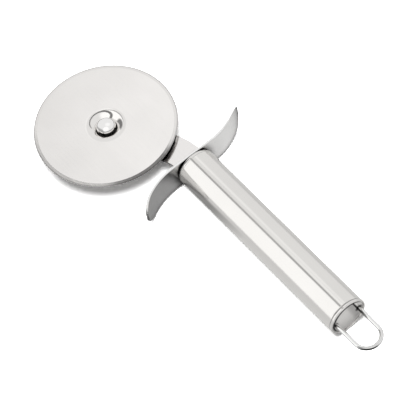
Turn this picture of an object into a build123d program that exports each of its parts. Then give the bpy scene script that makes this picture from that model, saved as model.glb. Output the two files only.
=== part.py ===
from build123d import *
import math
import os

# Wheel cutter lying flat. The wheel turns about Z, the handle runs along X with
# the wheel at its +X end, and the wheel hangs off the handle's axis towards +Y.

# Wheel: a thin disc, ground on both faces to a cutting edge, with its middle pressed into a dish
blade_diameter = 67.0
blade_thickness = 0.9
bevel_width = 1.7
edge_land = 0.14
dish_depth = 2.2
dish_wall_angle = 40.0
dish_wall_radius = 5.6
dish_bend_radius = 3.0

# Hub: a rivet whose head lies in the dish, with a shoulder that the wheel runs on
shoulder_diameter = 5.0
bore_clearance = 0.05
end_float = 0.05
head_diameter = 7.6
head_height = 1.5
head_crown = 0.5
top_washer_diameter = 8.8
top_washer_thickness = 0.8
spacer_diameter = 10.0
spacer_thickness = 0.4
washer_clearance = 0.05
tenon_diameter = 3.6
tail_diameter = 6.6
tail_height = 1.2
tail_face_share = 0.6

# Arm: a flat bar that leaves the handle and turns towards the hub under the wheel
arm_thickness = 1.5
arm_width = 14.4
arm_turn = 28.0
arm_bend_radius = 30.0
hub_offset = 17.6
hub_reach = 42.7
tang_length = 18.0
slot_clearance = 0.05

# Finger guard: a strip on edge, its lower horn bent back and its upper horn bent forward
guard_thickness = 1.2
guard_height = 16.4
guard_flat = 21.0
horn_radius = 34.5
horn_angle = 40.5
horn_end_radius = 6.6

# Handle: a tube with a pressed cap in each end
tube_diameter = 19.05
tube_wall = 0.8
handle_length = 107.9
cap_wall = 0.8
cap_skirt = 5.0
cap_clearance = 0.02
front_collar = 2.2
front_shoulder_radius = 1.9
front_shoulder_share = 0.586
tail_collar = 1.5
tail_bead = 0.12
tail_face_wall = 1.0
tail_recess = 0.5
tail_rim_width = 0.85
tail_roll_share = 0.45

# Hanging loop: a bent wire through two holes in the tail cap, its tips headed over inside
wire_diameter = 1.8
wire_clearance = 0.05
loop_radius = 6.35
loop_reach = 19.5
wire_head_diameter = 2.6
wire_head_height = 0.9

# Shared overrun for every cut, and a right angle
over = 2.0
quarter = 90.0

# Levels along Z, measured from the handle's axis
arm_top = arm_thickness / 2
arm_bottom = -arm_top
dish_bottom = arm_top + spacer_thickness + end_float
dish_floor = dish_bottom + blade_thickness
blade_bottom = dish_bottom + dish_depth
blade_top = blade_bottom + blade_thickness
head_base = dish_floor + end_float + top_washer_thickness

# Places along X and Y, measured from the hub
blade_radius = blade_diameter / 2
tube_radius = tube_diameter / 2
bore_radius = tube_radius - tube_wall
guard_back_x = -hub_reach
guard_mid_x = guard_back_x + guard_thickness / 2
tube_front_x = guard_back_x - front_collar
tail_end_x = guard_back_x - handle_length
tube_tail_x = tail_end_x + tail_collar
tail_face_x = tail_end_x + tail_recess
loop_center_x = tail_end_x - loop_reach + loop_radius + wire_diameter / 2
horn_drop = horn_radius * (1 - math.cos(math.radians(horn_angle)))
horn_tip_y = guard_flat / 2 + horn_radius * math.sin(math.radians(horn_angle))

# The origin lies under the middle of the whole object, on the surface that it rests on
far_x = blade_radius
near_x = tail_end_x - loop_reach
high_y = hub_offset + blade_radius
low_y = -horn_tip_y - guard_thickness / 2 * math.sin(math.radians(horn_angle))
origin = (
    (far_x + near_x) / 2,
    (high_y + low_y) / 2,
    -tube_radius - tail_bead,
)
hub = Location((0, hub_offset, 0))


def save(node, solid):
    """Move a piece from the handle's axis to the part's origin and write it."""
    placed = Location((-origin[0], -origin[1], -origin[2])) * solid
    placed.label = node
    export_step(placed, os.path.join("parts", node + ".step"))


def turned(points, radii=(), breaks=()):
    """Solid of revolution about Z from a closed outline of (radius, height) points.

    radii lists (corner index, fillet radius) for the outline's rounded corners and breaks
    lists (corner index, length) for its chamfered ones.
    """
    outline = Polyline(*[(r, z) for r, z in points], close=True)
    face = make_face(outline)
    for index, radius in radii:
        spot = Vector(points[index][0], points[index][1])
        corner = face.vertices().sort_by_distance(spot)[0]
        face = fillet(corner, radius)
    for index, length in breaks:
        spot = Vector(points[index][0], points[index][1])
        corner = face.vertices().sort_by_distance(spot)[0]
        face = chamfer(corner, length)
    return revolve(Plane.XZ * face, Axis.Z)


def turned_about_x(points, radii=(), breaks=()):
    """Solid of revolution about the handle's axis, heights running along +X."""
    return Rot(0, 90, 0) * turned(points, radii, breaks)


def disc(diameter, height, bottom):
    """Plain round of the hub, on the hub's axis."""
    return extrude(Plane.XY.offset(bottom) * Circle(diameter / 2), height)


def make_blade():
    """Disc whose middle is pressed down and whose rim is ground from both faces, with the running bore."""
    middle = blade_thickness / 2
    wall_top_radius = dish_wall_radius + dish_depth / math.tan(math.radians(dish_wall_angle))
    # Both bends keep the sheet's thickness when the lower face's corners lie this much further out
    half_turn = math.tan(math.radians(dish_wall_angle / 2))
    shift = blade_thickness * half_turn
    points = [
        (0, dish_bottom),
        (dish_wall_radius + shift, dish_bottom),
        (wall_top_radius + shift, blade_bottom),
        (blade_radius - bevel_width, blade_bottom),
        (blade_radius, blade_bottom + middle - edge_land / 2),
        (blade_radius, blade_bottom + middle + edge_land / 2),
        (blade_radius - bevel_width, blade_top),
        (wall_top_radius, blade_top),
        (dish_wall_radius, dish_floor),
        (0, dish_floor),
    ]
    outer_bend = dish_bend_radius + blade_thickness
    bends = [(7, outer_bend), (8, dish_bend_radius)]
    creases = [(1, outer_bend * half_turn), (2, dish_bend_radius * half_turn)]
    bore = disc(shoulder_diameter + 2 * bore_clearance, blade_thickness + 2 * over, dish_bottom - over)
    return hub * (turned(points, bends, creases) - bore)


def make_hub_rivet():
    """Low crowned head, running shoulder, tenon through the arm and a headed-over tail."""
    edge = head_diameter / 2
    wall_top = head_base + head_height - head_crown
    apex = head_base + head_height
    crown_radius = (edge * edge + head_crown * head_crown) / (2 * head_crown)
    half = math.asin(edge / crown_radius) / 2
    mid = (crown_radius * math.sin(half), apex - crown_radius * (1 - math.cos(half)))
    head_outline = [
        Line((0, head_base), (edge, head_base)),
        Line((edge, head_base), (edge, wall_top)),
        ThreePointArc((edge, wall_top), mid, (0, apex)),
        Line((0, apex), (0, head_base)),
    ]
    head = revolve(Plane.XZ * make_face(head_outline), Axis.Z)
    shoulder = disc(shoulder_diameter, head_base - arm_top, arm_top)
    tenon = disc(tenon_diameter, arm_thickness, arm_bottom)
    tail_base = arm_bottom - tail_height
    tail_radius = tail_diameter / 2
    tail_points = [
        (0, tail_base),
        (tail_radius * tail_face_share, tail_base),
        (tail_radius, arm_bottom),
        (0, arm_bottom),
    ]
    return hub * (head + shoulder + tenon + turned(tail_points))


def make_washer(diameter, thickness, bottom):
    """Flat ring that slips over the rivet's shoulder."""
    hole = shoulder_diameter + 2 * washer_clearance
    ring = disc(diameter, thickness, bottom)
    return hub * (ring - disc(hole, thickness + 2 * over, bottom - over))


def arm_outline():
    """Plan of the bar: along the handle's axis, round a bend and on to a round end at the hub."""
    bend_x = -hub_offset / math.tan(math.radians(arm_turn))
    tang_end_x = tube_front_x - tang_length
    middle = FilletPolyline((tang_end_x, 0), (bend_x, 0), (0, hub_offset), radius=arm_bend_radius)
    return trace(middle, arm_width) + Pos(0, hub_offset) * Circle(arm_width / 2)


def make_arm():
    """Flat bar, with the hole for the rivet's tenon."""
    bar = extrude(Plane.XY.offset(arm_bottom) * arm_outline(), arm_thickness)
    return bar - hub * disc(tenon_diameter, arm_thickness + 2 * over, arm_bottom - over)


def tang_slot(middle_x, depth):
    """Cutter for the slot that the arm's tang passes through."""
    width = arm_width + 2 * slot_clearance
    height = arm_thickness + 2 * slot_clearance
    return Pos(middle_x, 0, 0) * Box(depth, width, height)


def make_finger_guard():
    """Strip on edge, bent to a shallow S in plan, with round ends and a slot."""
    half_flat = guard_flat / 2
    lower_center = (guard_mid_x - horn_radius, half_flat)
    upper_center = (guard_mid_x + horn_radius, -half_flat)
    lower = CenterArc(lower_center, horn_radius, 0, horn_angle)
    middle = Line((guard_mid_x, -half_flat), (guard_mid_x, half_flat))
    upper = CenterArc(upper_center, horn_radius, 180, horn_angle)
    plan = trace([upper, middle, lower], guard_thickness)
    strip = extrude(Plane.XY.offset(-guard_height / 2) * plan, guard_height)
    span = 2 * abs(low_y)
    reach = 2 * (horn_drop + guard_thickness + over)
    ends = Plane.YZ.offset(guard_mid_x - reach / 2) * RectangleRounded(span, guard_height, horn_end_radius)
    return (strip & extrude(ends, reach)) - tang_slot(guard_mid_x, guard_thickness + 2 * over)


def make_handle_tube():
    """Plain round tube between the two caps."""
    length = tube_front_x - tube_tail_x
    ring = Circle(tube_radius) - Circle(bore_radius)
    return extrude(Plane.YZ.offset(tube_tail_x) * ring, length)


def make_front_cap():
    """Pressed cap with a sloped shoulder, its skirt inside the tube, slotted for the tang."""
    skirt_outer = bore_radius - cap_clearance
    points = [
        (0, guard_back_x - cap_wall),
        (skirt_outer - cap_wall, guard_back_x - cap_wall),
        (skirt_outer - cap_wall, tube_front_x - cap_skirt),
        (skirt_outer, tube_front_x - cap_skirt),
        (skirt_outer, tube_front_x),
        (tube_radius, tube_front_x),
        (tube_radius, guard_back_x),
        (0, guard_back_x),
    ]
    # A single cone that touches the shoulder's round in its middle
    cap = turned_about_x(points, breaks=[(6, front_shoulder_radius * front_shoulder_share)])
    depth = cap_wall + 2 * over
    return cap - tang_slot(guard_back_x - cap_wall / 2, depth)


def make_tail_cap():
    """Pressed cap with a rolled rim and a recessed face that holds the loop's two legs."""
    skirt_outer = bore_radius - cap_clearance
    rim_outer = tube_radius + tail_bead
    rim_inner = tube_radius - tail_rim_width
    points = [
        (0, tail_face_x),
        (rim_inner, tail_face_x),
        (rim_inner, tail_end_x),
        (rim_outer, tail_end_x),
        (rim_outer, tube_tail_x),
        (skirt_outer, tube_tail_x),
        (skirt_outer, tube_tail_x + cap_skirt),
        (skirt_outer - cap_wall, tube_tail_x + cap_skirt),
        (skirt_outer - cap_wall, tail_face_x + tail_face_wall),
        (0, tail_face_x + tail_face_wall),
    ]
    roll = tail_rim_width * tail_roll_share
    cap = turned_about_x(points, breaks=[(2, roll), (3, roll)])
    hole_radius = wire_diameter / 2 + wire_clearance
    for side in (1, -1):
        start = Plane.YZ.offset(tail_face_x - over) * Pos(side * loop_radius, 0)
        cap -= extrude(start * Circle(hole_radius), tail_face_wall + 2 * over)
    return cap


def wire_leg(y):
    """One straight leg of the wire, its tip headed over behind the tail cap's face."""
    section = Pos(y, 0) * Circle(wire_diameter / 2)
    head_x = tail_face_x + tail_face_wall
    leg = extrude(Plane.YZ.offset(loop_center_x) * section, head_x - loop_center_x)
    head = Plane.YZ.offset(head_x) * Pos(y, 0) * Circle(wire_head_diameter / 2)
    return leg + extrude(head, wire_head_height)


def make_hanging_loop():
    """U of wire: a half-round bow and two straight legs."""
    section = Plane.XZ * Pos(loop_radius, 0) * Circle(wire_diameter / 2)
    bow = Pos(loop_center_x, 0) * Rot(0, 0, quarter) * revolve(section, Axis.Z, 2 * quarter)
    return bow + wire_leg(loop_radius) + wire_leg(-loop_radius)


os.makedirs("parts", exist_ok=True)
save("blade", make_blade())
save("hub_rivet", make_hub_rivet())
save("top_washer", make_washer(top_washer_diameter, top_washer_thickness, dish_floor + end_float))
save("spacer_washer", make_washer(spacer_diameter, spacer_thickness, arm_top))
save("arm", make_arm())
save("finger_guard", make_finger_guard())
save("handle_tube", make_handle_tube())
save("front_cap", make_front_cap())
save("tail_cap", make_tail_cap())
save("hanging_loop", make_hanging_loop())
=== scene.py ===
import math

import bpy
import numpy as np
from mathutils import Matrix, Vector


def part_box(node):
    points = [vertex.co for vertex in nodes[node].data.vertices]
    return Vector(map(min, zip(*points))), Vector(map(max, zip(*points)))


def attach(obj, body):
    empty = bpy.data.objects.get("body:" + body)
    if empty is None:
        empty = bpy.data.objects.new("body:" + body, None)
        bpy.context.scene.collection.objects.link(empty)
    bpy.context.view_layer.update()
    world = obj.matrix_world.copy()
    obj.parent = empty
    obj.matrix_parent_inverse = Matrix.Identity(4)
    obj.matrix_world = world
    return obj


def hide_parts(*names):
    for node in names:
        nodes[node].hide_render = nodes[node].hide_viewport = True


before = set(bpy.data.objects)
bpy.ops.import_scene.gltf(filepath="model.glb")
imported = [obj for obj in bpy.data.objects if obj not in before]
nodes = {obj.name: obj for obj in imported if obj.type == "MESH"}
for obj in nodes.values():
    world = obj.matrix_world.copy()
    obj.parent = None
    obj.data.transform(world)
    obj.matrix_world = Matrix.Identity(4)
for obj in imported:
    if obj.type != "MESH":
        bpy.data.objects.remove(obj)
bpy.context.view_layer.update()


# Wheel. A thin disc of satin stainless sheet, its middle pressed into a dish and its rim
# ground from both faces. The sheet keeps its rolled grain, and its rim's edge has painted shade.
def node_maker(tree):
    """Returns add(type, inputs, **settings), which makes a node and links or sets its inputs."""
    def add(kind, inputs=None, **settings):
        node = tree.nodes.new(kind)
        for key, value in settings.items():
            setattr(node, key, value)
        for key, value in (inputs or {}).items():
            if isinstance(value, bpy.types.NodeSocket):
                tree.links.new(value, node.inputs[key])
            else:
                node.inputs[key].default_value = value
        return node
    return add


def ramp(add, value, start, end, low=0.0, high=1.0, easing="LINEAR"):
    """Carries a value's range from start to end over to low to high, and holds it beyond."""
    return add("ShaderNodeMapRange", {"Value": value, "From Min": start, "From Max": end,
                                      "To Min": low, "To Max": high},
               interpolation_type=easing).outputs[0]


def times(add, one, other):
    """One value multiplied by another."""
    return add("ShaderNodeMath", {0: one, 1: other}, operation="MULTIPLY").outputs[0]


def away_from(add, place, spot):
    """The straight distance of a place from a spot, in metres."""
    return add("ShaderNodeVectorMath", {0: place, 1: spot}, operation="DISTANCE").outputs["Value"]


def flattened(add, place, axes):
    """The place multiplied by 1 along the axes that count and by 0 along the others."""
    return add("ShaderNodeVectorMath", {0: place, 1: axes}, operation="MULTIPLY").outputs[0]


MM = 0.001
CLOUD_SCALE, CLOUD_RANGE = 45.0, (0.3, 0.7)
CREVICE_RANGE, CREVICE_SHADE = (0.4, 0.85), 0.08
GRAIN_DEPTH = 0.0002


def steel(name, tint, roughness, grain, spread, bump, cloud, crevice, worn=None):
    """Bare stainless steel: a metal whose grain is noise stretched along the rolling direction.

    grain is how many streaks there are to a metre along X, Y and Z, spread is how far the
    roughness wanders with them, and cloud is how far the colour does. Corners up to crevice mm
    from their neighbour get painted shade: ambient occlusion makes the colour fall off there,
    and the last argument multiplies in a painted shade of the piece's own.
    """
    material = bpy.data.materials.new(name)
    material.use_nodes = True
    tree = material.node_tree
    tree.nodes.clear()
    add = node_maker(tree)
    place = add("ShaderNodeTexCoord").outputs["Object"]
    streaks_at = add("ShaderNodeMapping", {"Vector": place, "Scale": grain}).outputs["Vector"]
    streaks = add("ShaderNodeTexNoise", {"Vector": streaks_at, "Scale": 1.0, "Detail": 4.0}).outputs[0]
    patches = add("ShaderNodeTexNoise", {"Vector": place, "Scale": CLOUD_SCALE,
                                         "Detail": 3.0}).outputs[0]
    rough = ramp(add, streaks, 0.0, 1.0, roughness - spread, roughness + spread)
    shade = ramp(add, patches, *CLOUD_RANGE, 1.0 - cloud, 1.0)
    # Ambient occlusion darkens the colour in corners and crevices: painted shade.
    open_sky = add("ShaderNodeAmbientOcclusion", {"Distance": crevice * MM}, samples=8).outputs["AO"]
    shade = times(add, shade, ramp(add, open_sky, *CREVICE_RANGE, CREVICE_SHADE, 1.0))
    # A painted shade of the piece's own, multiplied into the colour.
    if worn:
        shade = times(add, shade, worn(add, place))
    colour = add("ShaderNodeVectorMath", {0: tint, "Scale": shade}, operation="SCALE").outputs[0]
    height = add("ShaderNodeBump", {"Height": streaks, "Strength": bump,
                                    "Distance": GRAIN_DEPTH}).outputs[0]
    surface = add("ShaderNodeBsdfPrincipled", {"Base Color": colour, "Roughness": rough,
                                               "Metallic": 1.0, "Normal": height})
    add("ShaderNodeOutputMaterial", {"Surface": surface.outputs[0]})
    return material


def finish_node(name, material):
    """Gives a CAD node its material."""
    for slot in nodes[name].material_slots:
        slot.material = material


def rounded(corners, closed=True, steps=8):
    """Runs an outline through (across, up, radius) corners and turns each into an arc.

    The outline runs anticlockwise, with the metal on its left. Each arc touches both of its
    corner's sides, so its centre lies one radius off them, and the outward normal is the
    tangent turned to the right. An open outline keeps its two ends sharp. Sizes are in mm.
    """
    spots = np.array([corner[:2] for corner in corners], float)
    into = spots - np.roll(spots, 1, axis=0)
    into /= np.linalg.norm(into, axis=1, keepdims=True)
    out_of = np.roll(into, -1, axis=0)
    points, normals = [], []
    for spot, start, end, radius in zip(spots, into, out_of, [corner[2] for corner in corners]):
        turn = math.atan2(start[0] * end[1] - start[1] * end[0], start @ end)
        angle = math.atan2(start[1], start[0]) + turn * np.linspace(0, 1, steps + 1)
        normal = np.stack([np.sin(angle), -np.cos(angle)], axis=1)
        bulge = math.copysign(radius, turn)
        reach = radius * math.tan(abs(turn) / 2)
        centre = spot - start * reach - bulge * normal[0]
        points.append(centre + bulge * normal)
        normals.append(normal)
    if not closed:
        points[0], normals[0] = spots[:1], normals[1][:1]
        points[-1], normals[-1] = spots[-1:], normals[-2][-1:]
    return np.concatenate(points) * MM, np.concatenate(normals)


def new_piece(name, points, normals, faces, material):
    """Makes a mesh object at the origin with the normals that its formula gives."""
    mesh = bpy.data.meshes.new(name)
    mesh.from_pydata(points.tolist(), [], faces)
    mesh.polygons.foreach_set("use_smooth", [True] * len(mesh.polygons))
    mesh.normals_split_custom_set_from_vertices(normals.tolist())
    mesh.materials.append(material)
    piece = bpy.data.objects.new(name, mesh)
    bpy.context.scene.collection.objects.link(piece)
    return piece


def grid_faces(rows, columns, wrap_rows):
    """Quads between neighbouring points of a grid whose columns close on themselves."""
    row = np.arange(rows if wrap_rows else rows - 1)[:, None]
    column = np.arange(columns)[None, :]
    above, beside = (row + 1) % rows, (column + 1) % columns
    quads = np.stack([row * columns + column, row * columns + beside,
                      above * columns + beside, above * columns + column], axis=-1)
    return quads.reshape(-1, 4)


def turned_skin(name, outline, centre, along_x, around, material):
    """Surface of revolution: each (radius, height) point of the outline goes round the axis.

    A point is centre plus radius times the cosine and sine of the angle, plus height along
    the axis. An outline that starts and ends on the axis gets one shared point at each pole.
    """
    profile, slopes = outline
    poles = profile[0, 0] == 0
    rings, ring_slopes = (profile[1:-1], slopes[1:-1]) if poles else (profile, slopes)
    angle = np.linspace(0, 2 * math.pi, around, endpoint=False)
    circle = np.stack([np.cos(angle), np.sin(angle)], axis=1)

    def spin(values):
        """Each value's first part times the unit circle, with its second part as the rise."""
        flat = values[:, None, :1] * circle[None]
        rise = np.broadcast_to(values[:, None, 1:], (len(values), around, 1))
        return np.concatenate([flat, rise], axis=2).reshape(-1, 3)

    points, normals = spin(rings), spin(ring_slopes)
    faces = grid_faces(len(rings), around, not poles).tolist()
    if poles:
        count = len(points)
        points = np.vstack([points, [0, 0, profile[0, 1]], [0, 0, profile[-1, 1]]])
        normals = np.vstack([normals, [0, 0, slopes[0, 1]], [0, 0, slopes[-1, 1]]])
        ring = np.arange(around)
        after = np.roll(ring, -1)
        last = count - around
        faces += np.stack([ring * 0 + count, after, ring], axis=1).tolist()
        faces += np.stack([ring * 0 + count + 1, ring + last, after + last], axis=1).tolist()
    if along_x:
        points, normals = points[:, [2, 0, 1]], normals[:, [2, 0, 1]]
    return new_piece(name, points + np.array(centre), normals, faces, material)


wheel_low, wheel_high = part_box("blade")
HUB_X = (wheel_low[0] + wheel_high[0]) / 2
HUB_Y = (wheel_low[1] + wheel_high[1]) / 2
WHEEL_RADIUS, SHEET = 33.5, 0.9
RIM_WIDTH, RIM_LAND, RIM_CREASE, LAND_EDGE = 1.7, 0.14, 0.6, 0.03
BORE_RADIUS, BORE_EDGE = 2.55, 0.08
DISH_DEPTH, DISH_FOOT, DISH_HEAD, FOOT_BEND, HEAD_BEND = 2.2, 4.5, 7.8, 1.2, 5.0
WHEEL_AROUND, WHEEL_STEPS = 320, 14
DISH_SLOPE = math.atan(DISH_DEPTH / (DISH_HEAD - DISH_FOOT))
shift = SHEET * math.tan(DISH_SLOPE / 2)
rim_middle = DISH_DEPTH + SHEET / 2
wheel_outline = rounded([
    (BORE_RADIUS, 0, BORE_EDGE),
    (DISH_FOOT + shift, 0, FOOT_BEND + SHEET),
    (DISH_HEAD + shift, DISH_DEPTH, HEAD_BEND),
    (WHEEL_RADIUS - RIM_WIDTH, DISH_DEPTH, RIM_CREASE),
    (WHEEL_RADIUS, rim_middle - RIM_LAND / 2, LAND_EDGE),
    (WHEEL_RADIUS, rim_middle + RIM_LAND / 2, LAND_EDGE),
    (WHEEL_RADIUS - RIM_WIDTH, DISH_DEPTH + SHEET, RIM_CREASE),
    (DISH_HEAD, DISH_DEPTH + SHEET, HEAD_BEND + SHEET),
    (DISH_FOOT, SHEET, FOOT_BEND),
    (BORE_RADIUS, SHEET, BORE_EDGE)], steps=WHEEL_STEPS)


def from_hub(inner, outer, inside, outside):
    """A shade that goes from one level to another between two distances in mm from the hub."""
    def shade(add, place):
        """The distance from the hub's axis, carried over to the two levels."""
        reach = away_from(add, flattened(add, place, (1, 1, 0)), (HUB_X, HUB_Y, 0))
        return ramp(add, reach, inner * MM, outer * MM, inside, outside)
    return shade


# A thin ring just inside the rim's edge is made darker: painted shade on the ground bevel.
GROUND_START, GROUND_FULL, GROUND_SHADE = 0.65, 0.45, 0.68
painted_rim_shade = from_hub(WHEEL_RADIUS - GROUND_START, WHEEL_RADIUS - GROUND_FULL, 1.0, GROUND_SHADE)
satin_sheet = steel("satin_sheet", tint=(0.89, 0.87, 0.85), roughness=0.10, grain=(60, 900, 900),
                    spread=0.05, bump=0.05, cloud=0.05, crevice=0.3, worn=painted_rim_shade)
wheel = turned_skin("wheel_skin", wheel_outline, (HUB_X, HUB_Y, wheel_low[2]), False, WHEEL_AROUND,
                    satin_sheet)
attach(wheel, "wheel")
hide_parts("blade")

# Rivet and washers. The rivet is turned from bar and polished, its head lies in the wheel's
# dish, and its tail is headed over under the arm. The two washers are flat rings of nylon,
# slipped over its shoulder above and below the wheel. Their near-black colour is painted
# shade, standing in for the dark gap under the rivet's head.
polished_bar = steel("polished_bar", tint=(0.95, 0.94, 0.93), roughness=0.06, grain=(300, 300, 300),
                     spread=0.02, bump=0.005, cloud=0.02, crevice=0.5)
# The nylon's near-black colour is painted shade for the dark gap under the rivet's head.
NYLON_MOTTLE, NYLON_SPECULAR = 900.0, 0.3
NYLON_ROUGHNESS, NYLON_SHADE_BLACK = (0.45, 0.65), (0.008, 0.022)
nylon_shade_black = bpy.data.materials.new("nylon_shade_black")
nylon_shade_black.use_nodes = True
nylon_shade_black.node_tree.nodes.clear()
add = node_maker(nylon_shade_black.node_tree)
place = add("ShaderNodeTexCoord").outputs["Object"]
mottle = add("ShaderNodeTexNoise", {"Vector": place, "Scale": NYLON_MOTTLE, "Detail": 3.0}).outputs[0]
rough = ramp(add, mottle, 0.0, 1.0, *NYLON_ROUGHNESS)
black = ramp(add, mottle, 0.0, 1.0, *NYLON_SHADE_BLACK)
surface = add("ShaderNodeBsdfPrincipled", {"Base Color": black, "Roughness": rough,
                                           "Specular IOR Level": NYLON_SPECULAR})
add("ShaderNodeOutputMaterial", {"Surface": surface.outputs[0]})

rivet_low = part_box("hub_rivet")[0]
TAIL_RADIUS, TAIL_FACE, TAIL_RISE, TAIL_BEND = 3.3, 1.98, 1.2, 0.4
TENON, PLATE, SHOULDER, SHOULDER_RISE = 1.8, 1.5, 2.5, 2.2
HEAD_RADIUS, HEAD_WALL, HEAD_CROWN, HEAD_EDGE = 4.05, 1.05, 0.45, 0.25
TURNED_EDGE, SOFT_EDGE, JUST_SHORT = 0.02, 0.1, 0.99
HUB_AROUND, HUB_STEPS = 128, 12
head_foot = TAIL_RISE + PLATE + SHOULDER_RISE
head_top = head_foot + HEAD_WALL + HEAD_CROWN
crown_turn = math.atan(2 * HEAD_CROWN / HEAD_RADIUS)
crown_radius = HEAD_RADIUS / 2 / math.tan(crown_turn / 2)
rivet_outline = rounded([
    (0, 0, 0), (TAIL_FACE, 0, TAIL_BEND), (TAIL_RADIUS, TAIL_RISE, SOFT_EDGE),
    (TENON, TAIL_RISE, TURNED_EDGE), (TENON, TAIL_RISE + PLATE, TURNED_EDGE),
    (SHOULDER, TAIL_RISE + PLATE, TURNED_EDGE), (SHOULDER, head_foot, TURNED_EDGE),
    (HEAD_RADIUS, head_foot, SOFT_EDGE), (HEAD_RADIUS, head_foot + HEAD_WALL, HEAD_EDGE),
    (HEAD_RADIUS / 2, head_top, crown_radius * JUST_SHORT), (0, head_top, 0)],
    closed=False, steps=HUB_STEPS)
rivet = turned_skin("rivet_skin", rivet_outline, (HUB_X, HUB_Y, rivet_low[2]), False, HUB_AROUND,
                    polished_bar)

washer_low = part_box("top_washer")[0]
WASHER_RADIUS, WASHER_HOLE, WASHER_HEIGHT = 3.5, 2.55, 0.8
WASHER_FOOT_EDGE, WASHER_TOP_EDGE = 0.15, 0.25
washer_outline = rounded([(WASHER_HOLE, 0, SOFT_EDGE), (WASHER_RADIUS, 0, WASHER_FOOT_EDGE),
                          (WASHER_RADIUS, WASHER_HEIGHT, WASHER_TOP_EDGE),
                          (WASHER_HOLE, WASHER_HEIGHT, SOFT_EDGE)])
washer = turned_skin("washer_skin", washer_outline, (HUB_X, HUB_Y, washer_low[2]), False, HUB_AROUND,
                     nylon_shade_black)
for piece, node, slot in ((rivet, "hub_rivet", "rivet_steel"), (washer, "top_washer", "washer_nylon")):
    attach(piece, "handle")
    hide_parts(node)
finish_node("spacer_washer", nylon_shade_black)

# Arm and finger guard. Flat bar and a bent strip of stainless steel with the mill's satin
# finish. The arm runs from inside the handle, through the front cap and the guard, to the
# rivet. The guard's skin is whole here, and the arm passes through it without a slot.
# The arm's colour is darkened where the wheel lies over it: a painted shadow of the wheel.
COVERED_FULL, COVERED_END, COVERED_SHADE = 0.5, 0.3, 0.05
painted_wheel_shadow = from_hub(WHEEL_RADIUS - COVERED_FULL, WHEEL_RADIUS - COVERED_END, COVERED_SHADE, 1.0)
satin_bar = steel("satin_bar", tint=(0.86, 0.84, 0.825), roughness=0.16, grain=(60, 900, 900),
                  spread=0.05, bump=0.05, cloud=0.03, crevice=1.0, worn=painted_wheel_shadow)
finish_node("arm", satin_bar)

guard_low, guard_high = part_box("finger_guard")
tube_low, tube_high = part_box("handle_tube")
AXIS_Y = (tube_low[1] + tube_high[1]) / 2
AXIS_Z = (tube_low[2] + tube_high[2]) / 2
GUARD_X = (guard_low[0] + guard_high[0]) / 2
FLAT_HALF, HORN_RADIUS, HORN_TURN = 10.5, 34.5, math.radians(40.5)
STRIP_HALF, STRIP_HEIGHT, STRIP_END, STRIP_EDGE = 0.6, 8.2, 6.6, 0.3
STRIP_ROWS, STRIP_STEPS = 161, 6


def strip_skin(name, material):
    """Strip on edge along an S: a rounded slot-shaped section carried along the S in plan.

    The S is straight in the middle and a circle's arc in each half, turned opposite ways. The
    section is a rectangle with round corners whose height falls off towards each end as a
    quarter circle does.
    """
    share = np.sin(np.linspace(-math.pi / 2, math.pi / 2, STRIP_ROWS))
    run = share * (FLAT_HALF + HORN_RADIUS * HORN_TURN)
    bend = np.clip(np.abs(run) - FLAT_HALF, 0, None) / HORN_RADIUS
    side = np.sign(run)
    across = side * (np.minimum(np.abs(run), FLAT_HALF) + HORN_RADIUS * np.sin(bend))
    along = -side * HORN_RADIUS * (1 - np.cos(bend))
    facing = np.stack([np.cos(bend), side * np.sin(bend)], axis=1)
    tip = FLAT_HALF + HORN_RADIUS * math.sin(HORN_TURN)
    inset = np.clip(np.abs(across) - (tip - STRIP_END), 0, STRIP_END)
    height = STRIP_HEIGHT - STRIP_END + np.sqrt(STRIP_END ** 2 - inset ** 2)
    section, slopes = rounded([(-STRIP_HALF, -1, STRIP_EDGE), (STRIP_HALF, -1, STRIP_EDGE),
                               (STRIP_HALF, 1, STRIP_EDGE), (-STRIP_HALF, 1, STRIP_EDGE)],
                              steps=STRIP_STEPS)
    section = section / MM
    lift = section[None, :, 1] + np.sign(section[None, :, 1]) * (height[:, None] - 1)
    thick = section[None, :, 0]
    points = np.stack([along[:, None] + thick * facing[:, :1], across[:, None] + thick * facing[:, 1:],
                       lift], axis=2).reshape(-1, 3) * MM
    normals = np.stack([slopes[None, :, 0] * facing[:, :1], slopes[None, :, 0] * facing[:, 1:],
                        np.broadcast_to(slopes[None, :, 1], lift.shape)], axis=2).reshape(-1, 3)
    count = len(section)
    last = (STRIP_ROWS - 1) * count
    faces = grid_faces(STRIP_ROWS, count, False)[:, ::-1].tolist()
    faces += [list(range(count)), list(range(last, last + count))[::-1]]
    return new_piece(name, points + np.array((GUARD_X, AXIS_Y, AXIS_Z)), normals, faces, material)


# The guard's colour darkens up to 5 mm from nearby surfaces: painted shade.
satin_strip = steel("satin_strip", tint=(0.93, 0.925, 0.915), roughness=0.18, grain=(60, 900, 900),
                    spread=0.05, bump=0.05, cloud=0.03, crevice=5.0)
guard = strip_skin("guard_skin", satin_strip)
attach(guard, "handle")
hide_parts("finger_guard")

# Handle. A round stainless tube polished along its length, with a pressed cap pushed into
# each end by its skirt. The tail cap has a rolled rim round a recessed face. The caps' skins
# are whole here, and the arm and the loop's legs pass through them without a hole.
polished_tube = steel("polished_tube", tint=(0.84, 0.825, 0.80), roughness=0.12, grain=(25, 900, 900),
                      spread=0.04, bump=0.02, cloud=0.03, crevice=1.0)
TUBE_RADIUS, TUBE_WALL, TUBE_TAIL_EDGE, TUBE_FRONT_EDGE = 9.525, 0.8, 0.5, 0.12
CUT_EDGE, HANDLE_AROUND = 0.05, 192
tube_length = (tube_high[0] - tube_low[0]) / MM
bore = TUBE_RADIUS - TUBE_WALL
tube_outline = rounded([(bore, 0, CUT_EDGE), (TUBE_RADIUS, 0, TUBE_TAIL_EDGE),
                        (TUBE_RADIUS, tube_length, TUBE_FRONT_EDGE), (bore, tube_length, CUT_EDGE)])
tube = turned_skin("tube_skin", tube_outline, (tube_low[0], AXIS_Y, AXIS_Z), True, HANDLE_AROUND,
                   polished_tube)

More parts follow.
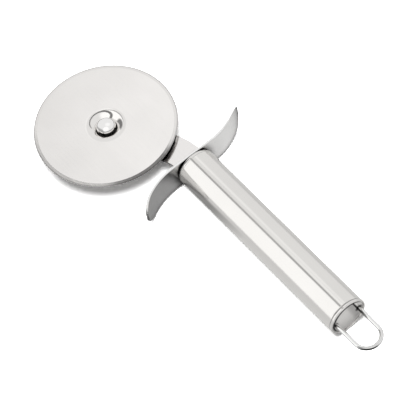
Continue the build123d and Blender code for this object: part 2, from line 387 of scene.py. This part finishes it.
CAP_WALL, SKIRT_GAP, SKIRT = 0.8, 0.02, 5.0
SKIRT_EDGE, INNER_BEND, CAP_STEPS = 0.1, 0.3, 12
FRONT_COLLAR, FRONT_ROUND = 2.2, 1.9
skirt_out = bore - SKIRT_GAP
skirt_in = skirt_out - CAP_WALL
front_outline = rounded([
    (0, FRONT_COLLAR - CAP_WALL, 0), (skirt_in, FRONT_COLLAR - CAP_WALL, INNER_BEND),
    (skirt_in, -SKIRT, SKIRT_EDGE), (skirt_out, -SKIRT, SKIRT_EDGE), (skirt_out, 0, CUT_EDGE),
    (TUBE_RADIUS, 0, TUBE_FRONT_EDGE), (TUBE_RADIUS, FRONT_COLLAR, FRONT_ROUND),
    (0, FRONT_COLLAR, 0)], closed=False, steps=CAP_STEPS)
front = turned_skin("front_cap_skin", front_outline, (tube_high[0], AXIS_Y, AXIS_Z), True,
                    HANDLE_AROUND, polished_tube)

TAIL_COLLAR, TAIL_RECESS, TAIL_FACE_WALL, TAIL_RIM, TAIL_BEAD = 1.5, 0.6, 0.9, 0.85, 0.12
ROLL_FOOT, ROLL_INSIDE, ROLL_OUTSIDE = 0.12, 0.44, 0.5
rim_in, rim_out = TUBE_RADIUS - TAIL_RIM, TUBE_RADIUS + TAIL_BEAD
tail_outline = rounded([
    (0, TAIL_RECESS, 0), (rim_in, TAIL_RECESS, ROLL_FOOT), (rim_in, 0, ROLL_INSIDE),
    (rim_out, 0, ROLL_OUTSIDE), (rim_out, TAIL_COLLAR, ROLL_OUTSIDE),
    (skirt_out, TAIL_COLLAR, CUT_EDGE), (skirt_out, TAIL_COLLAR + SKIRT, SKIRT_EDGE),
    (skirt_in, TAIL_COLLAR + SKIRT, SKIRT_EDGE),
    (skirt_in, TAIL_RECESS + TAIL_FACE_WALL, INNER_BEND),
    (0, TAIL_RECESS + TAIL_FACE_WALL, 0)], closed=False, steps=CAP_STEPS)
tail_x = tube_low[0] - TAIL_COLLAR * MM
LOOP_RADIUS = 6.35
# Painted shade on the tail cap's face, under the rolled rim and round the far leg's hole.
CRESCENT_ASIDE, CRESCENT_DOWN, CRESCENT_EDGE, CRESCENT_SHADE = 0.9, 1.3, (8.0, 8.35), 0.05
HOLE_EDGE, HOLE_SHADE = (1.4, 2.3), 0.1
FACE_EDGE = (8.3, 8.5)


def rim_soot(add, place):
    """Painted shade on the tail cap's face: a crescent under the rolled rim and a ring round one leg.

    The crescent is what a circle set off the axis leaves of the face. The rim itself has none.
    """
    flat = flattened(add, place, (0, 1, 1))
    beside = (0, AXIS_Y - CRESCENT_ASIDE * MM, AXIS_Z - CRESCENT_DOWN * MM)
    crescent_from, crescent_to = CRESCENT_EDGE
    crescent = ramp(add, away_from(add, flat, beside), crescent_from * MM, crescent_to * MM,
                    1.0, CRESCENT_SHADE)
    hole_from, hole_to = HOLE_EDGE
    hole = away_from(add, flat, (0, AXIS_Y - LOOP_RADIUS * MM, AXIS_Z))
    ring = ramp(add, hole, hole_from * MM, hole_to * MM, HOLE_SHADE, 1.0)
    soot = add("ShaderNodeMath", {0: crescent, 1: ring}, operation="MINIMUM").outputs[0]
    face_from, face_to = FACE_EDGE
    rim = ramp(add, away_from(add, flat, (0, AXIS_Y, AXIS_Z)), face_from * MM, face_to * MM)
    return add("ShaderNodeMath", {0: soot, 1: rim}, operation="MAXIMUM").outputs[0]


pressed_cap = steel("pressed_cap", tint=(0.80, 0.785, 0.765), roughness=0.14, grain=(300, 300, 300),
                    spread=0.04, bump=0.02, cloud=0.03, crevice=1.0, worn=rim_soot)
tail = turned_skin("tail_cap_skin", tail_outline, (tail_x, AXIS_Y, AXIS_Z), True, HANDLE_AROUND,
                   pressed_cap)
for piece, node, slot in ((tube, "handle_tube", "tube_steel"), (front, "front_cap", "cap_steel"),
                          (tail, "tail_cap", "cap_steel")):
    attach(piece, "handle")
    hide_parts(node)

# Hanging loop. Bright drawn stainless wire bent to a U. Its two legs go in through the tail
# cap, and their tips are headed over behind its face, so that the loop can't pull out.
loop_low, loop_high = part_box("hanging_loop")
WIRE, WIRE_HEAD, WIRE_HEAD_HEIGHT = 1.0, 1.3, 0.9
BOW_RINGS, BOW_LEAD, WIRE_SIDES, WIRE_PINHOLE = 65, 1.0, 48, 0.001
# Painted shade on the wire: darker where it faces down, and dark spots at the bow's outer lower side
# and on the far leg's inner lower side by the cap.
SHADE_SPOT_TURN, SHADE_SPOT_DARK = (-0.1, 0.25), 0.05
UNDERSIDE_TURN, UNDERSIDE_SHADE = (-0.3, 0.4), 0.06
bow_painted_shade = ((loop_low[0] + 2.0 * MM, AXIS_Y + 3.4 * MM, AXIS_Z), 3.2, 5.4, (-0.62, 0.58, -0.52))
leg_painted_shade = ((tail_x, AXIS_Y - LOOP_RADIUS * MM, AXIS_Z), 2.5, 5.5, (0, 0.96, -0.28))


def painted_shade_spot(add, place, spot, full, none, facing):
    """Painted shade on the side that faces one way, full up to some mm from a spot and gone a few mm
    on.
    """
    near = ramp(add, away_from(add, place, spot), none * MM, full * MM)
    normal = add("ShaderNodeNewGeometry").outputs["Normal"]
    turned = add("ShaderNodeVectorMath", {0: normal, 1: facing}, operation="DOT_PRODUCT")
    side = ramp(add, turned.outputs["Value"], *SHADE_SPOT_TURN)
    return ramp(add, times(add, near, side), 0.0, 1.0, 1.0, SHADE_SPOT_DARK)


def wire_soot(add, place):
    """Painted shade, darker where the surface faces down, times a painted shade spot at the bow and
    one at a leg.
    """
    facing = add("ShaderNodeNewGeometry").outputs["Normal"]
    rise = add("ShaderNodeSeparateXYZ", {0: facing}).outputs["Z"]
    shade = ramp(add, rise, *UNDERSIDE_TURN, UNDERSIDE_SHADE, 1.0)
    for spot, full, none, way in (bow_painted_shade, leg_painted_shade):
        shade = times(add, shade, painted_shade_spot(add, place, spot, full, none, way))
    return shade


bright_wire = steel("bright_wire", tint=(0.86, 0.86, 0.85), roughness=0.08, grain=(200, 200, 200),
                    spread=0.03, bump=0.01, cloud=0.03, crevice=2.0, worn=wire_soot)


def wire_skin(name, material):
    """Round wire along a U: a circle carried square to the path.

    The path is a straight leg, half a circle and the other leg. The circle grows to the
    headed-over tips, and each tip's end face is left open by a pinhole on the wire's axis.
    """
    bow_x = loop_low[0] / MM + WIRE + LOOP_RADIUS
    tip_x = loop_high[0] / MM
    turn = np.linspace(0, math.pi, BOW_RINGS)
    neck = tip_x - WIRE_HEAD_HEIGHT
    leg_x = np.array([tip_x, tip_x, neck, neck, bow_x + BOW_LEAD])
    leg_radius = np.array([WIRE_PINHOLE, WIRE_HEAD, WIRE_HEAD, WIRE, WIRE])
    ones, zeros = np.ones(len(leg_x)), np.zeros(len(leg_x))
    centre_x = np.concatenate([leg_x, bow_x - LOOP_RADIUS * np.sin(turn), leg_x[::-1]])
    flank = np.concatenate([ones, np.cos(turn), -ones])
    front = np.concatenate([zeros, -np.sin(turn), zeros])
    radius = np.concatenate([leg_radius, np.full(BOW_RINGS, WIRE), leg_radius[::-1]])[:, None]
    angle = np.linspace(0, 2 * math.pi, WIRE_SIDES, endpoint=False)[None, :]
    out = np.stack([front[:, None] * np.cos(angle), flank[:, None] * np.cos(angle),
                    np.broadcast_to(np.sin(angle), (len(centre_x), WIRE_SIDES))], axis=2)
    spine = np.stack([centre_x, LOOP_RADIUS * flank, 0 * centre_x], axis=1)[:, None, :]
    points = (spine + radius[:, :, None] * out).reshape(-1, 3) * MM
    points += np.array((0, AXIS_Y, AXIS_Z))
    faces = grid_faces(len(centre_x), WIRE_SIDES, False)[:, ::-1].tolist()
    return new_piece(name, points, out.reshape(-1, 3), faces, material)


loop = wire_skin("loop_skin", bright_wire)
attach(loop, "handle")
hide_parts("hanging_loop")

# Table. A wide flat sheet of matt paper that the cutter lies over and that keeps its shadow.
# The camera sees it plain white. Other rays, the metal's reflections too, see it darker close
# to the cutter, and darker again in a patch beside the guard: painted shade on the paper.
TABLE_HALF = 1.5
PAPER_SHADE_REACH, PAPER_SHADE_TONE = (0.1, 0.9), (0.46, 1.2)
SHADE_PATCH_AT, SHADE_PATCH_REACH, SHADE_PATCH_TONE = (GUARD_X - 0.005, AXIS_Y + 0.016, 0), (0.012, 0.035), (0.42, 1.0)
PAPER_TO_CAMERA = 1.8


def between(add, share, none, full):
    """A straight blend from one value where the share is 0 to another where it is 1."""
    return add("ShaderNodeMix", {"Factor": share, 2: none, 3: full}, data_type="FLOAT").outputs[0]


corners = [(-TABLE_HALF, -TABLE_HALF, 0), (TABLE_HALF, -TABLE_HALF, 0),
           (TABLE_HALF, TABLE_HALF, 0), (-TABLE_HALF, TABLE_HALF, 0)]
table_mesh = bpy.data.meshes.new("table")
table_mesh.from_pydata(corners, [], [(0, 1, 2, 3)])
table = bpy.data.objects.new("table", table_mesh)
bpy.context.scene.collection.objects.link(table)
table_paper = bpy.data.materials.new("table_paper")
table_paper.use_nodes = True
table_paper.node_tree.nodes.clear()
add = node_maker(table_paper.node_tree)
rays = add("ShaderNodeLightPath").outputs
spot = add("ShaderNodeTexCoord").outputs["Object"]
reach = add("ShaderNodeVectorMath", {0: spot}, operation="LENGTH").outputs["Value"]
# Painted shade: the paper is darker close to the cutter and in a patch beside the guard, for every ray
# but the camera's.
paper = ramp(add, reach, *PAPER_SHADE_REACH, *PAPER_SHADE_TONE)
patch = ramp(add, away_from(add, spot, SHADE_PATCH_AT), *SHADE_PATCH_REACH, *SHADE_PATCH_TONE)
level = between(add, rays["Is Camera Ray"], times(add, paper, patch), PAPER_TO_CAMERA)
matte = add("ShaderNodeBsdfDiffuse", {"Color": level}).outputs[0]
add("ShaderNodeOutputMaterial", {"Surface": matte})
table_mesh.materials.append(table_paper)

# Room. White walls all round for the metal to reflect, with grey and white cards and one dark
# stripe hung in it, and a wide soft lamp overhead. The camera sees the walls plain white.
OPEN_WALL, ROOM_FILL, ROOM_TO_CAMERA = 1.15, 0.2, 1.0
STRIPE_SLANT = 0.2
room = bpy.data.worlds.new("room")
bpy.context.scene.world = room
room.use_nodes = True
room.node_tree.nodes.clear()
add = node_maker(room.node_tree)
ray = add("ShaderNodeTexCoord").outputs["Generated"]


def card(under, azimuth, elevation, inner, outer, tone):
    """Lays a round card with a soft edge over the room, seen from the part in that direction."""
    a, e = math.radians(azimuth), math.radians(elevation)
    toward = (math.cos(e) * math.cos(a), math.cos(e) * math.sin(a), math.sin(e))
    facing = add("ShaderNodeVectorMath", {0: ray, 1: toward}, operation="DOT_PRODUCT").outputs["Value"]
    share = ramp(add, facing, math.cos(math.radians(outer)), math.cos(math.radians(inner)),
                 easing="SMOOTHSTEP")
    return between(add, share, under, tone)


def stripe(under, low, high, soft, floor_height, tone):
    """Lays a dark stripe over the room, across the handle, between two X parts of the direction.

    It starts above a height. Its low side slants where the direction's Y part is negative.
    """
    parts = add("ShaderNodeSeparateXYZ", {0: ray}).outputs
    behind = add("ShaderNodeMath", {0: parts[1], 1: 0.0}, operation="MINIMUM").outputs[0]
    slant = add("ShaderNodeMath", {0: behind, 1: STRIPE_SLANT, 2: parts[0]},
                operation="MULTIPLY_ADD").outputs[0]
    rising = ramp(add, slant, low, low + soft, easing="SMOOTHSTEP")
    falling = ramp(add, parts[0], high, high - soft, easing="SMOOTHSTEP")
    over = ramp(add, parts[2], floor_height, floor_height + soft, easing="SMOOTHSTEP")
    return between(add, times(add, times(add, rising, falling), over), under, tone)


# Each one lies over those before it
walls = card(OPEN_WALL, azimuth=-90, elevation=10, inner=70, outer=92, tone=0.86)
walls = card(walls, azimuth=140, elevation=15, inner=26, outer=40, tone=0.72)
walls = card(walls, azimuth=-27.6, elevation=57.4, inner=23, outer=27, tone=0.42)
walls = card(walls, azimuth=-53.8, elevation=36, inner=42, outer=46, tone=0.86)
walls = card(walls, azimuth=-33, elevation=56, inner=2.5, outer=8, tone=1.0)
walls = stripe(walls, low=-0.10, high=0.18, soft=0.05, floor_height=0.40, tone=0.20)
walls = card(walls, azimuth=-17, elevation=70, inner=6, outer=9, tone=1.06)
walls = card(walls, azimuth=20, elevation=22, inner=14, outer=24, tone=0.22)
rays = add("ShaderNodeLightPath").outputs
mirrored = between(add, rays["Is Glossy Ray"], ROOM_FILL, walls)
level = between(add, rays["Is Camera Ray"], mirrored, ROOM_TO_CAMERA)
back = add("ShaderNodeBackground", {"Color": (1, 1, 1, 1), "Strength": level}).outputs[0]
add("ShaderNodeOutputWorld", {"Surface": back})

LAMP_SIZE = 0.4
LAMP_AT = (-0.07, 0.075, 0.7)
LAMP_POWER = 7.0
lamp_light = bpy.data.lights.new("overhead", "AREA")
lamp_light.shape = "DISK"
lamp_light.size = LAMP_SIZE
lamp_light.energy = LAMP_POWER
lamp = bpy.data.objects.new("overhead", lamp_light)
bpy.context.scene.collection.objects.link(lamp)
lamp.location = LAMP_AT
lamp.rotation_euler = Vector(lamp.location).to_track_quat("Z", "Y").to_euler()
lamp.visible_glossy = False

# Camera. At the photograph's height and turn, over the handle's end, a little to the wheel's
# side. Its place, its axes and its focal length come from the fit to the photograph.
PICTURE = 420
FOCAL_PIXELS = 2474.18
SENSOR = 36.0
FAR_CLIP = 10.0
CAMERA_AT = Vector((-0.52750, 0.27782, 0.94233))
CAMERA_RIGHT = Vector((-0.6217, -0.7735, -0.1232))
CAMERA_UP = Vector((0.6206, -0.5824, 0.5250))
camera_data = bpy.data.cameras.new("camera")
camera_data.sensor_width = SENSOR
camera_data.lens = SENSOR * FOCAL_PIXELS / PICTURE
camera_data.clip_end = FAR_CLIP
camera = bpy.data.objects.new("camera", camera_data)
bpy.context.scene.collection.objects.link(camera)
side = CAMERA_RIGHT.normalized()
back_axis = side.cross(CAMERA_UP).normalized()
top = back_axis.cross(side).normalized()
turn = Matrix((side, top, back_axis)).transposed().to_4x4()
camera.matrix_world = Matrix.Translation(CAMERA_AT) @ turn
bpy.context.scene.camera = camera
bpy.context.scene.view_settings.view_transform = "Standard"
